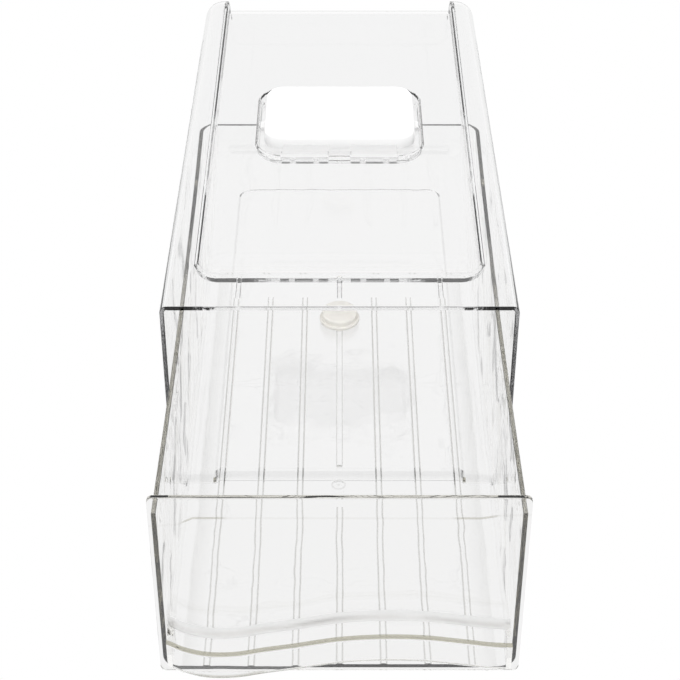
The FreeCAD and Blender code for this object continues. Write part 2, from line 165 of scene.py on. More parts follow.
def hole_walls(gone, cols, first, second):
    """Quads that line a hole between two matching grids of points.

    `gone` marks the cells left out. Each side of such a cell whose neighbour is
    still there becomes a quad from the first grid to the second.
    """
    i, j = np.nonzero(gone)
    k = (j + 1) % cols
    sides = (((i, j), (i, k), (i - 1, j)),
             ((i, k), (i + 1, k), (i, k)),
             ((i + 1, k), (i + 1, j), (i + 1, j)),
             ((i + 1, j), (i, j), (i, j - 1)))
    walls = []
    for (a, b), (c, e), (ni, nj) in sides:
        edge = ~gone[ni, nj % gone.shape[1]]
        p, q = (a * cols + b)[edge], (c * cols + e)[edge]
        walls.append(np.stack([p + first, q + first, q + second, p + second], -1))
    return np.concatenate(walls)


def weld(verts, quad_rows, rings=()):
    """Joins equal points, then drops the sides of faces that have no length."""
    keys = np.round(verts / WELD).astype(np.int64)
    _, first, inverse = np.unique(keys, axis=0, return_index=True, return_inverse=True)
    inverse = inverse.reshape(-1)
    cell = inverse[quad_rows]
    same = cell == np.roll(cell, -1, axis=1)
    crossed = (cell[:, 0] == cell[:, 2]) | (cell[:, 1] == cell[:, 3])
    whole = cell[~same.any(axis=1) & ~crossed]
    one = same.sum(axis=1) == 1
    threes = cell[one][~same[one]].reshape(-1, 3)
    faces = whole.tolist() + threes.tolist()
    for ring in rings:
        ring = inverse[ring]
        faces.append(ring[ring != np.roll(ring, -1)].tolist())
    return verts[first], faces


def smooth_step(t):
    """0 below 0 and 1 above 1, with level ends: 3 t squared less 2 t cubed."""
    t = np.clip(t, 0.0, 1.0)
    return t * t * (3.0 - 2.0 * t)


def step_wall(d, width, r):
    """Profile of a moulded step: 0 before the wall, 1 after it, round at both ends.

    d runs across the wall from its upper edge; the wall itself is `width` wide
    and each end turns through a parabola that is r wide.
    """
    t = np.clip(d / width, 0.0, 1.0)
    k = r / width
    slope = 1.0 / (1.0 - k)
    low = 0.5 * slope * t * t / k
    mid = slope * (t - k / 2)
    high = 1.0 - 0.5 * slope * (1.0 - t) ** 2 / k
    return np.where(t < k, low, np.where(t > 1 - k, high, mid))


def arc(cx, cz, r, a0, a1, n):
    """n points of a circular arc between two angles in degrees."""
    a = np.radians(np.linspace(a0, a1, n))
    return np.column_stack([cx + r * np.cos(a), cz + r * np.sin(a)])


def spread(points, *bands):
    """Sorted grid lines: the given points plus evenly spaced ones in each band.

    A band is where it starts, where it ends and about how far apart its lines are.
    """
    fans = [np.linspace(low, high, max(2, int(round((high - low) / step)) + 1)) for low, high, step in bands]
    return np.unique(np.round(np.concatenate([np.asarray(points, float)] + fans), 4))


def box_distance(x, y, left, right, low, high, r):
    """Signed distance to a rounded rectangle: negative inside."""
    cx, cy = (left + right) / 2, (low + high) / 2
    qx = np.abs(x - cx) - ((right - left) / 2 - r)
    qy = np.abs(y - cy) - ((high - low) / 2 - r)
    outer = np.hypot(np.maximum(qx, 0), np.maximum(qy, 0))
    return outer + np.minimum(np.maximum(qx, qy), 0) - r


def revolve(profile, cx, cy, n=96):
    """Surface of a radius-height profile turned about an upright axis."""
    profile = np.asarray(profile, float)
    turn = np.linspace(0, 2 * np.pi, n, endpoint=False)
    x = cx + profile[:, :1] * np.cos(turn)
    y = cy + profile[:, :1] * np.sin(turn)
    z = np.repeat(profile[:, 1:], n, axis=1)
    return np.stack([x, y, z], -1).reshape(-1, 3), quads(len(profile), n, wrap=True)


def turn_out(mesh):
    """Turns the faces of a mesh to point out; raises if the mesh isn't closed."""
    bm = bmesh.new()
    bm.from_mesh(mesh)
    bmesh.ops.recalc_face_normals(bm, faces=bm.faces)
    open_edges = sum(len(edge.link_faces) != 2 for edge in bm.edges)
    bm.to_mesh(mesh)
    bm.free()
    if open_edges:
        raise RuntimeError(f"{mesh.name} has {open_edges} open edges")


def make(name, verts, faces, slot, body, node_name, sharp, layers=()):
    """One closed piece at the origin that stands for a CAD node and rides on a body.

    verts are in millimetres with depth from the case's front. The slot names the
    piece's plastic. Each layer is an attribute's name and a function of x, depth
    and height that fills it.
    """
    x, d, z = verts.T
    mesh = bpy.data.meshes.new(name)
    mesh.from_pydata(((verts + (0.0, CASE_Y, 0.0)) * MM).tolist(), [], faces)
    for layer_name, value_of in layers:
        layer = mesh.attributes.new(layer_name, "FLOAT", "POINT")
        layer.data.foreach_set("value", value_of(x, d, z).astype(np.float32))
    turn_out(mesh)
    mesh.polygons.foreach_set("use_smooth", np.ones(len(mesh.polygons), bool))
    mesh.set_sharp_from_angle(angle=math.radians(sharp))
    mesh.materials.append(plastic(slot))
    obj = bpy.data.objects.new(name, mesh)
    bpy.context.scene.collection.objects.link(obj)
    flats = obj.modifiers.new("flat_faces", "WEIGHTED_NORMAL")
    flats.mode = "FACE_AREA"
    flats.weight = 100
    flats.keep_sharp = True
    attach(obj, body)
    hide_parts(node_name)
    return obj


# ------------------------------------------------------------------ case
# Lengths in millimetres. A STEP is how wide a moulded step's wall is and a SOFT
# how far its ends are rounded. SILL is the share of the floor's thickness that is
# left at its front edge. BEYOND carries an outline past the case's end, and HAIR
# allows for rounding where a point is held against a line.
BACK_DRAFT = 1.7
STEP, STEP_SOFT, BEYOND = 1.2, 0.5, 60.0
RECESS_HALF, RECESS_FRONT, RECESS_ROUND = 63.5, 27.0, 9.0
WELL_HALF, WELL_FRONT, WELL_BACK, WELL_ROUND = 41.3, 136.7, 205.0, 13.0
WELL_WALL = 1.0
RAMP_X, RAMP_HALF, RAMP_RUN, RAMP_STEP, RAMP_SOFT = 17.5, 12.0, 11.3, 0.5, 0.2
BED_HALF, BED_BACK, BED_ROUND, BED_STEP = 57.6, 258.8, 6.1, 4.0
GUSSETS, GUSSET_FRONT, GUSSET_HALF = (-44.9, 0.0, 44.9), 7.5, 1.1
GUSSET_FILL, GUSSET_STEP, GUSSET_SOFT = 0.35, 0.4, 0.15
VENTS, VENT_HALF, VENT_FRONT, VENT_BACK = (-24.0, -12.0, 0.0, 12.0, 24.0), 1.5, 162.75, 188.75
BUTTON_D, BORE_HALF, BORE_LONG = 124.5, 1.25, 1.1
BOSS_R, BOSS_DROP, BOSS_STEP, BOSS_SOFT = 4.5, 1.7, 0.6, 0.2
PIP_X, PIP_D, PIP_HALF, PIP_LONG, PIP_RISE = 59.0, 2.4, 0.7, 1.3, 0.6
# The last of these says how strongly painted shade darkens the pips.
PIP_SIDE, PIP_END, PIP_SOFT, PIP_SHADE = 0.3, 0.4, 0.1, 0.9
SILL, SILL_RUN = 0.08, 9.0
RIM, BACK_BEND = 0.4, 9.0
CORNER, CORNER_GROWTH, CORNER_LEAST = 3.5, 7.0, 0.3
TOP_FLAT, FLOOR_FLAT = 66.2, 62.0
HAIR = 0.01


class CaseSkin:
    """Top and floor of the case as heights over x and depth, for both skins.

    Each method takes arrays of x and depth and an inset, the distance by which
    the skin lies inside the outermost one at the rim and the back.
    """

    def __init__(self, settings):
        self.wall = mm(settings.wall)
        self.recess = mm(settings.recess_drop)
        self.well = mm(settings.well_drop)
        self.bed = mm(settings.bed_rise)
        self.bend = mm(settings.panel_bend)

    def panel_drop(self, x, d, thick):
        """How far the panel lies below the top: a rounded step, then a quarter arc at the back."""
        outline = box_distance(x, d, -RECESS_HALF, RECESS_HALF, RECESS_FRONT, DEPTH + BEYOND, RECESS_ROUND)
        low = self.recess * step_wall(STEP / 2 - (outline - thick), STEP, STEP_SOFT)
        r = self.bend - thick
        t = np.clip((d - (DEPTH - self.bend)) / r, 0.0, 1.0)
        fall = r * (1.0 - np.sqrt(1.0 - t * t))
        return low * (1.0 + fall / self.recess)

    def well_step(self, x, d, thick):
        """The well's depth: 0 outside its rounded outline, full inside it."""
        outline = box_distance(x, d, -WELL_HALF, WELL_HALF, WELL_FRONT, WELL_BACK, WELL_ROUND)
        return self.well * step_wall(STEP / 2 - (outline - thick), STEP, STEP_SOFT)

    def top_outside(self, x, d, inset):
        """Outer top skin, with the well and two ramps sloping down into it."""
        well = self.well_step(x, d, 0.0)
        ramp = self.well * np.clip((d - WELL_FRONT) / RAMP_RUN, 0.0, 1.0)
        side = step_wall(RAMP_HALF - np.abs(np.abs(x) - RAMP_X), RAMP_STEP, RAMP_SOFT)
        sloped = np.minimum(well, ramp * side + well * (1 - side))
        well = np.where(d < WELL_FRONT + RAMP_RUN, sloped, well)
        return np.minimum(HEIGHT - inset, HEIGHT - self.panel_drop(x, d, 0.0) - well)

    def top_inside(self, x, d, inset):
        """Inner top skin, with the well and three gussets behind the front band."""
        well = self.well_step(x, d, WELL_WALL)
        z = HEIGHT - self.wall - self.panel_drop(x, d, self.wall) - well
        run = (d - GUSSET_FRONT) / (RECESS_FRONT - self.wall - GUSSET_FRONT)
        line = HEIGHT - self.wall - self.recess * run
        behind = (d > GUSSET_FRONT) & (d < RECESS_FRONT)
        for place in GUSSETS:
            fin = GUSSET_FILL * step_wall(GUSSET_HALF - np.abs(x - place), GUSSET_STEP, GUSSET_SOFT)
            z = np.where(behind, z + fin * (np.minimum(line, z) - z), z)
        return np.minimum(HEIGHT - inset, z)

    def bed_step(self, x, d):
        """The bed's height: 0 outside its rounded outline, full inside it."""
        outline = box_distance(x, d, -BED_HALF, BED_HALF, -BEYOND, BED_BACK, BED_ROUND)
        return self.bed * smooth_step(0.5 - outline / BED_STEP)

    def floor_outside(self, x, d, inset):
        """Underside: the bed is hollow from below, with the button's boss in it."""
        outline = np.hypot(x, d - BUTTON_D) - BOSS_R
        boss = BOSS_DROP * step_wall(BOSS_STEP / 2 - outline, BOSS_STEP, BOSS_SOFT)
        return np.maximum(inset, self.bed_step(x, d) - boss)

    def floor_inside(self, x, d, inset):
        """Inner floor: tapered to a thin sill in front, with the raised bed and two small pips."""
        thick = self.wall * (SILL + (1.0 - SILL) * smooth_step(d / SILL_RUN))
        z = np.maximum(np.minimum(inset, thick), thick + self.bed_step(x, d))
        pip = step_wall(PIP_HALF - np.abs(np.abs(x) - PIP_X), PIP_SIDE, PIP_SOFT)
        return z + PIP_RISE * pip * step_wall(PIP_LONG - np.abs(d - PIP_D), PIP_END, PIP_SOFT)

    def rows(self, thick, steps):
        """Depth and inset of each cross loop: a quarter arc, even depths, a quarter arc."""
        start = RIM * (1 - np.sin(np.radians(np.linspace(90, 0, 6))))
        lip = RIM - np.sqrt(np.maximum(0.0, RIM ** 2 - (RIM - start) ** 2))
        r = BACK_BEND - thick
        s = np.sin(np.radians(np.linspace(0, 90, 12)))[1:]
        depth = np.concatenate([start, steps, DEPTH - BACK_BEND + r * s])
        inset = np.concatenate([thick - lip if thick else lip, np.full(len(steps), thick),
                                thick + r - np.sqrt(np.maximum(0.0, r * r - (r * s) ** 2))])
        return depth, inset

    def loops(self, thick, steps, tops, lows):
        """Closed loops across the case, one for each depth.

        A loop runs along the top, down the right side, back along the floor and
        up the left side, with a corner arc between each two. The half width
        shrinks and the corner radius grows evenly with depth.
        """
        depth, inset = self.rows(thick, steps)
        d, e = depth[:, None], inset[:, None]
        half = CASE_HALF - BACK_DRAFT * d / DEPTH
        r = np.maximum(CORNER + CORNER_GROWTH * d / DEPTH - e, CORNER_LEAST)
        cx, ct, cb = half - e - r, HEIGHT - e - r, e + r
        third = np.linspace(0, 1, 4)[1:]
        quarter = np.array([0.25, 0.5, 0.75])
        turn = np.radians(np.linspace(90, 0, 10))
        cos, sin = np.cos(turn), np.sin(turn)
        even = np.ones_like(d)
        outer = TOP_FLAT + (cx - TOP_FLAT) * third
        xt = np.hstack([-outer[:, ::-1], even * tops, outer])
        outer = FLOOR_FLAT + (cx - FLOOR_FLAT) * third
        xb = np.hstack([outer[:, ::-1], even * lows[::-1], -outer])
        floor_of = self.floor_inside if thick else self.floor_outside
        top_of = self.top_inside if thick else self.top_outside
        zt, zb = top_of(xt, d + 0 * xt, e), floor_of(xb, d + 0 * xb, e)
        rise, fall = cb + (ct - cb) * quarter, ct + (cb - ct) * quarter
        side = (half - e) * np.ones(3)
        right_top = (cx + r * cos)[:, 1:], (ct + r * sin)[:, 1:]
        right_low = (cx + r * cos[::-1])[:, :-1], (cb - r * sin[::-1])[:, :-1]
        left_low = -(cx + r * cos)[:, 1:], (cb - r * sin)[:, 1:]
        left_top = -(cx + r * cos[::-1])[:, :-1], (ct + r * sin[::-1])[:, :-1]
        x = np.hstack([xt, right_top[0], side, right_low[0], xb, left_low[0], -side, left_top[0]])
        z = np.hstack([zt, right_top[1], fall, right_low[1], zb, left_low[1], rise, left_top[1]])
        return np.stack([x, d + 0 * x, z], -1)


def top_places():
    """Places across the case's top, close together at the panel, well, ramps, gussets and vents."""
    near, far, gusset = RAMP_X - RAMP_HALF, RAMP_X + RAMP_HALF, GUSSETS[-1]
    half = spread(
        [0.0, near + RAMP_STEP, far - RAMP_STEP, TOP_FLAT],
        (RECESS_HALF - 9.5, RECESS_HALF - 1.1, 0.7), (RECESS_HALF - 1.1, TOP_FLAT, 0.38),
        (WELL_HALF - 13.3, WELL_HALF - 1.1, 0.9), (WELL_HALF - 1.1, WELL_HALF + 2.1, 0.3),
        (near - 0.2, near + 0.3, 0.25), (far - 0.3, far + 0.2, 0.25), (0.75, 1.25, 0.12),
        (gusset - 1.3, gusset - 0.8, 0.12), (gusset + 0.8, gusset + 1.3, 0.12),
        *[(vent - VENT_HALF, vent + VENT_HALF, 2 * VENT_HALF) for vent in VENTS if vent > 0])
    return np.unique(np.concatenate([-half, half]))


def floor_places():
    """Places across the case's floor, close together at the boss, the bed's edge and the pips."""
    half = spread(
        [0.0, BORE_HALF, 20.0, 40.0, FLOOR_FLAT], (0.0, BOSS_R + 0.7, 0.65),
        (BED_HALF - 7.1, BED_HALF - 1.1, 0.9), (BED_HALF - 1.1, PIP_X - 0.9, 0.4),
        (PIP_X - 0.9, PIP_X + 0.9, 0.2), (PIP_X + 0.9, PIP_X + 1.5, 0.3))
    return np.unique(np.concatenate([-half, half]))


def depth_places(bend):
    """Depths of the case's cross loops, close together wherever the top or the floor steps."""
    return spread(
        [GUSSET_FRONT, 12.0, 18.0, RECESS_FRONT - 1.0, 60.0, 100.0, 170.0, 230.0, 285.0],
        (PIP_D - 1.2, PIP_D + 1.6, 0.4), (GUSSET_FRONT - 0.3, GUSSET_FRONT + 0.3, 0.3),
        (RECESS_FRONT - 3.0, RECESS_FRONT + 1.2, 0.42), (RECESS_FRONT + 1.2, RECESS_FRONT + 9.8, 0.9),
        (BUTTON_D - BOSS_R - 0.6, BUTTON_D + BOSS_R + 0.6, 0.7),
        (BUTTON_D - BORE_LONG, BUTTON_D + BORE_LONG, 2 * BORE_LONG),
        (WELL_FRONT - 1.9, WELL_FRONT + 1.3, 0.3), (WELL_FRONT + 1.3, WELL_FRONT + 13.3, 1.0),
        (VENT_FRONT, VENT_BACK, 13.0),
        (WELL_BACK - 14.0, WELL_BACK - 1.4, 1.0), (WELL_BACK - 1.4, WELL_BACK + 1.8, 0.3),
        (BED_BACK - 7.3, BED_BACK + 3.2, 0.75), (DEPTH - bend, DEPTH - BACK_BEND, 1.0))


def case_mesh(settings):
    """Outer and inner skins of the case, joined at the front rim and round the holes."""
    skin = CaseSkin(settings)
    tops, lows, steps = top_places(), floor_places(), depth_places(skin.bend)
    outer = skin.loops(0.0, steps, tops, lows)
    inner = skin.loops(skin.wall, steps, tops, lows)
    rows, cols = outer.shape[:2]
    shift = rows * cols
    ahead = (outer[:-1, :, 1] + outer[1:, :, 1]) / 2
    across = (outer[:-1, :, 0] + np.roll(outer[:-1, :, 0], -1, axis=1)) / 2
    above = outer[:-1, :, 2] > HEIGHT / 2
    gone = (np.abs(across) < BORE_HALF) & (np.abs(ahead - BUTTON_D) < BORE_LONG) & ~above
    for place in VENTS:
        gone |= (np.abs(across - place) < VENT_HALF) & (ahead > VENT_FRONT) & (ahead < VENT_BACK) & above
    cell = quads(rows, cols, wrap=True).reshape(rows - 1, cols, 4)[~gone]
    j = np.arange(cols)
    k = (j + 1) % cols
    rim = np.stack([j, k, k + shift, j + shift], -1)
    faces = np.concatenate([cell[:, ::-1], cell + shift, hole_walls(gone, cols, 0, shift), rim])
    last = shift - cols + j
    verts = np.concatenate([outer.reshape(-1, 3), inner.reshape(-1, 3)])
    return weld(verts, faces, (last, (last + shift)[::-1]))


def pip_shade(x, d, z):
    """Painted shade of the case: darkens the two pips on the inner floor."""
    pip = (np.abs(np.abs(x) - PIP_X) < PIP_HALF + HAIR) & (np.abs(d - PIP_D) < PIP_LONG + HAIR)
    return np.where(pip & (z > 5 * HAIR) & (z < HEIGHT / 2), PIP_SHADE, 0.0)


# ------------------------------------------------------------------ drawer tray
# Ribs lie beside a middle one that ends before the slot. The slot's, gate mark's and bend's values say
# how strongly painted shade darkens them.
RIB_PITCH, RIB_END, MIDDLE_END, RIB_FADE = 18.4, 143.5, -20.4, 1.2
RIB_FLANK, RIB_SOFT = 0.9, 0.4
SIDE_RIBS = [RIB_PITCH * k for k in (-3, -2, -1, 1, 2, 3)]
RIB_LINES = np.array([-2.0, -1.7, -1.5, -1.35, -1.2, -1.05, -0.9, -0.7, 0.0])
SLOT_HALF, SLOT_FRONT, SLOT_BACK = 1.15, 8.0, 126.3
SLOT_DIP, SLOT_SOFT, SLOT_SHADE, SLOT_BAND, SLOT_END = 0.25, 0.3, 0.9, 0.4, 0.45
GATE_X, GATE_D, GATE_R, GATE_RISE, GATE_WIDE = -0.5, -6.5, 3.0, 0.25, 0.5
GATE_BAND, GATE_SHADE = 0.6, 0.6
PATCH_IN, FLOOR_BEND, TRAY_LIP, BEND_BAND, BEND_SHADE = 8.0, 7.0, 0.3, 0.8, 0.25
PATCH_HALF, PATCH_BACK = TRAY_HALF - PATCH_IN, TRAY_BACK - PATCH_IN
WALL_LINES = np.array([30.0, 50.0, 70.0])
BOW_LOW, BOW_RISE, BOW_INSIDE, BOW_EDGE = 10.0, 60.0, 60.0, 10.0


class TrayForm:
    """Shape of the tray: a floor with ribs and three walls, open at the front."""

    def __init__(self, settings):
        self.wall = mm(settings.wall)
        self.rise = mm(settings.rib_rise)
        self.half = mm(settings.rib_width) / 2
        self.bow = mm(settings.bow)

    def floor(self, x, d):
        """Inner floor: flat, with soft-edged lengthwise ribs and a gate mark's ring."""
        z = np.full_like(x, TRAY_LOW + self.wall)
        for place in SIDE_RIBS + [0.0]:
            end = smooth_step(((RIB_END if place else MIDDLE_END) - d) / RIB_FADE)
            z = z + self.rise * step_wall(self.half - np.abs(x - place), RIB_FLANK, RIB_SOFT) * end
        ring = np.hypot(x - GATE_X, d - GATE_D) - GATE_R
        return z + GATE_RISE * np.exp(-(ring / GATE_WIDE) ** 2)

    def groove_shade(self, x, d, z):
        """Painted shade on the tray: darkens rib flanks, slot, gate mark and the floor's bend line.

        A flank's painted shade is 4 t (1 - t) across it, so it is strongest in its middle.
        """
        top = z > TRAY_LOW + 1.0
        value = np.zeros_like(x)
        for place in SIDE_RIBS + [0.0]:
            t = np.clip((self.half - np.abs(x - place)) / RIB_FLANK, 0.0, 1.0)
            within = top & (d < (RIB_END if place else MIDDLE_END))
            value = np.maximum(value, np.where(within, 4.0 * t * (1.0 - t), 0.0))
        slot = np.clip(1.4 - np.abs(np.abs(x) - SLOT_HALF) / SLOT_BAND, 0.0, 1.0)
        along = (d > SLOT_FRONT - 0.1) & (d < SLOT_BACK + 0.1)
        value = np.maximum(value, np.where(along, SLOT_SHADE * slot, 0.0))
        end = (np.abs(d - SLOT_FRONT) < SLOT_END) & (np.abs(x) < SLOT_HALF + 0.1)
        value = np.maximum(value, np.where(end, 1.0, 0.0))
        out = np.hypot(x - GATE_X, d - GATE_D)
        mark = np.clip(1.0 - np.abs(out - GATE_R) / GATE_BAND, 0.0, 1.0) + np.clip(1.0 - out, 0.0, 1.0)
        value = np.maximum(value, np.where(top, GATE_SHADE * mark, 0.0))
        bend = np.clip(1.0 - np.abs(np.abs(x) - PATCH_HALF) / BEND_BAND, 0.0, 1.0)
        return np.maximum(value, np.where(top & (d < PATCH_BACK - 0.4), BEND_SHADE * bend, 0.0))

    def wall_profile(self):
        """How far out and how high each line round the floor patch runs, inside and outside.

        Height nan is the ribbed floor. A quarter arc leads from the floor up the
        wall and a small one over the rim.
        """
        inner_bend = FLOOR_BEND - self.wall
        t = np.radians(np.linspace(0, 90, 12))
        u = np.radians(np.linspace(0, 90, 5))
        lip = TRAY_LIP * (1 - np.cos(u))
        rim = TRAY_RIM - TRAY_LIP + TRAY_LIP * np.sin(u)
        inner = np.concatenate([
            [(0.0, np.nan), (0.5, TRAY_LOW + self.wall)],
            np.column_stack([1.0 + inner_bend * np.sin(t),
                             TRAY_LOW + self.wall + inner_bend * (1 - np.cos(t))]),
            np.column_stack([np.full(len(WALL_LINES), 1.0 + inner_bend), WALL_LINES]),
            np.column_stack([1.0 + inner_bend + lip, rim])])
        outer = np.concatenate([
            [(0.0, TRAY_LOW), (0.5, TRAY_LOW)],
            np.column_stack([1.0 + FLOOR_BEND * np.sin(t), TRAY_LOW + FLOOR_BEND * (1 - np.cos(t))]),
            np.column_stack([np.full(len(WALL_LINES), PATCH_IN), WALL_LINES]),
            np.column_stack([PATCH_IN - lip, rim])])
        return inner, outer

    def around(self, xs, ds, out, height):
        """One line along the left edge, round the back and along the right edge of the patch.

        `out` moves it away from the patch; corners are arcs about the patch's corners.
        """
        half, high = xs[-1], ds[-1]
        t = np.radians(np.linspace(0, 90, 9))[1:-1]
        x = np.concatenate([np.full(len(ds), -half - out), -half - out * np.cos(t), xs,
                            half + out * np.sin(t), np.full(len(ds), half + out)])
        d = np.concatenate([ds, high + out * np.sin(t), np.full(len(xs), high + out),
                            high + out * np.cos(t), ds[::-1]])
        z = self.floor(x, d) if np.isnan(height) else np.full(len(x), height)
        return np.column_stack([x, d, z])

    def bowed(self, verts):
        """Bows the long sides in along half a sine wave, more towards the rim."""
        s = (verts[:, 1] - TRAY_FRONT) / (TRAY_BACK - TRAY_FRONT)
        bow = self.bow * np.sin(np.pi * np.clip(s, 0, 1)) * smooth_step((verts[:, 2] - BOW_LOW) / BOW_RISE)
        side = smooth_step((np.abs(verts[:, 0]) - BOW_INSIDE) / BOW_EDGE)
        return verts - np.column_stack([np.sign(verts[:, 0]) * bow * side, 0 * bow, 0 * bow])


def patch_places():
    """Places across and along the floor patch, close together at ribs, slot and gate mark."""
    ribs = [place + sign * RIB_LINES for place in SIDE_RIBS + [0.0] for sign in (1, -1)]
    across = spread(np.concatenate(ribs + [[0.0, SLOT_HALF, -SLOT_HALF, 6.0, -6.0]]),
                    (-5.4, 5.4, 0.45), (-PATCH_HALF, PATCH_HALF, 8.0))
    along = spread(
        [TRAY_FRONT, -30.0, SLOT_FRONT - 0.9, SLOT_FRONT - 0.4, SLOT_FRONT, SLOT_FRONT + 0.9, SLOT_BACK,
         60.0, PATCH_BACK],
        (GATE_D - 5.5, GATE_D + 5.6, 0.45), (MIDDLE_END - 1.6, MIDDLE_END + 0.4, 0.4),
        (RIB_END - 1.7, RIB_END + 0.3, 0.4), (TRAY_FRONT, PATCH_BACK - 0.2, 14.0))
    return across, along


def tray_mesh(form):
    """Floor patch as two grids, with the walls as lines carried out and up round it.

    The front end is open: one strip joins the two floor grids there, and one
    joins the inner and the outer lines of each side wall.
    """
    xs, ds = patch_places()
    inner, outer = form.wall_profile()
    band = np.array([form.around(xs, ds, out, z) for out, z in np.concatenate([inner, outer[::-1]])])
    rows, cols = band.shape[:2]
    x, d = np.meshgrid(xs, ds)
    n, m = x.shape
    near = (d > SLOT_FRONT - 0.2) & (d < SLOT_BACK + 0.2)
    dip = np.where(near, SLOT_DIP * (1 - np.clip((np.abs(x) - SLOT_HALF) / SLOT_SOFT, 0, 1)), 0.0)
    high = np.stack([x, d, form.floor(x, d) - dip], -1)
    low = np.stack([x, d, np.full_like(x, TRAY_LOW)], -1)
    first, second = rows * cols, rows * cols + n * m
    across, ahead = (xs[1:] + xs[:-1]) / 2, (ds[1:] + ds[:-1]) / 2
    gone = (np.abs(across) < SLOT_HALF) & (ahead[:, None] > SLOT_FRONT) & (ahead[:, None] < SLOT_BACK)
    cell = quads(n, m).reshape(n - 1, m - 1, 4)[~gone]
    j = np.arange(m - 1)
    sill = np.stack([first + j, first + j + 1, second + j + 1, second + j], -1)
    k = np.arange(len(inner) - 1)
    post = np.stack([k, k + 1, rows - 2 - k, rows - 1 - k], -1) * cols
    faces = np.concatenate([quads(rows, cols), cell + first, (cell + second)[:, ::-1],
                            hole_walls(gone, m, first, second), sill, post, post + cols - 1])
    verts = np.concatenate([band.reshape(-1, 3), high.reshape(-1, 3), low.reshape(-1, 3)])
    return weld(form.bowed(verts), faces)


# ------------------------------------------------------------------ drawer front
# A zone of the front with painted shade or with dulled polish has plain points GAP or more beside it,
# so that the shade or the dulling ends there.
PLATE_THICK, PLATE_LOW, PLATE_ROUND, EDGE_ROUND = 1.9, 3.3, 2.5, 0.45
PLATE_FACE = PLATE_BACK - PLATE_THICK
FOOT_X, FOOT_R, FOOT_ROUND, FOOT_GAP = 61.4, 0.85, 0.25, 0.05
HOOD_LIP, HOOD_LINES, ROOF_BEND, ROOF_ROUND, SKIRT_ROUND = 0.3, 120, 1.0, 0.4, 0.35
CREST_RUN, CREST_DROP, LIP_RISE, GAP = 2.0, 0.35, 2.0, 0.2
# How strongly painted shade darkens the plate's top edge, the hood's left lip and the parting line, and how
# much more it darkens that line in places.
RIM_SHADE, LIP_SHADE, PARTING_SHADE, PARTING_MORE = 0.3, 0.5, 0.15, 0.6
PARTING_HALF = 0.5
# Start, end and fade of the stretches across the plate where painted shade shows on the lip
# and where the painted shade on the parting line is stronger.
LIP_SPAN, PARTING_SPAN = (-62.0, -26.0, 8.0), (43.0, 63.0, 4.0)
# Across the plate: place and height of its faint parting line, and of the
# hood's upper edge, which waves.
PARTING = np.array([(-75.0, 84.0), (-63.2, 85.0), (-57.0, 88.4), (55.0, 88.2), (62.0, 89.6), (75.0, 90.0)])
WAVE = np.array([
    (-76.0, 34.5), (-69.5, 32.8), (-63.0, 28.9), (-53.0, 25.9), (-47.0, 25.65), (-40.0, 26.3),
    (-32.0, 28.2), (-17.0, 31.1), (-8.0, 33.1), (-1.4, 34.4), (5.0, 35.2), (15.0, 35.9), (24.0, 36.0),
    (36.0, 35.3), (47.0, 33.7), (54.0, 32.6), (60.0, 31.6), (66.0, 31.1), (76.0, 31.0)])


def wave_height(x):
    """Height of the hood's upper edge: a cubic Hermite curve through WAVE."""
    px, pz = WAVE.T
    slope = np.gradient(pz, px)
    i = np.clip(np.searchsorted(px, x) - 1, 0, len(px) - 2)
    h = px[i + 1] - px[i]
    t = (x - px[i]) / h
    a = (1 + 2 * t) * (1 - t) ** 2 * pz[i] + t * (1 - t) ** 2 * h * slope[i]
    return a + t * t * (3 - 2 * t) * pz[i + 1] + t * t * (t - 1) * h * slope[i + 1]


def window(x, low, high, fade):
    """1 between two places and 0 outside them, with a smooth step at both ends."""
    return smooth_step((x - low) / fade) * smooth_step((high - x) / fade)


def corner_cut(x):
    """How far the plate's round corners shorten it at top and bottom."""
    off = np.maximum(0.0, np.abs(x) - (PLATE_HALF - PLATE_ROUND))
    return PLATE_ROUND - np.sqrt(np.maximum(0.0, PLATE_ROUND ** 2 - off ** 2))


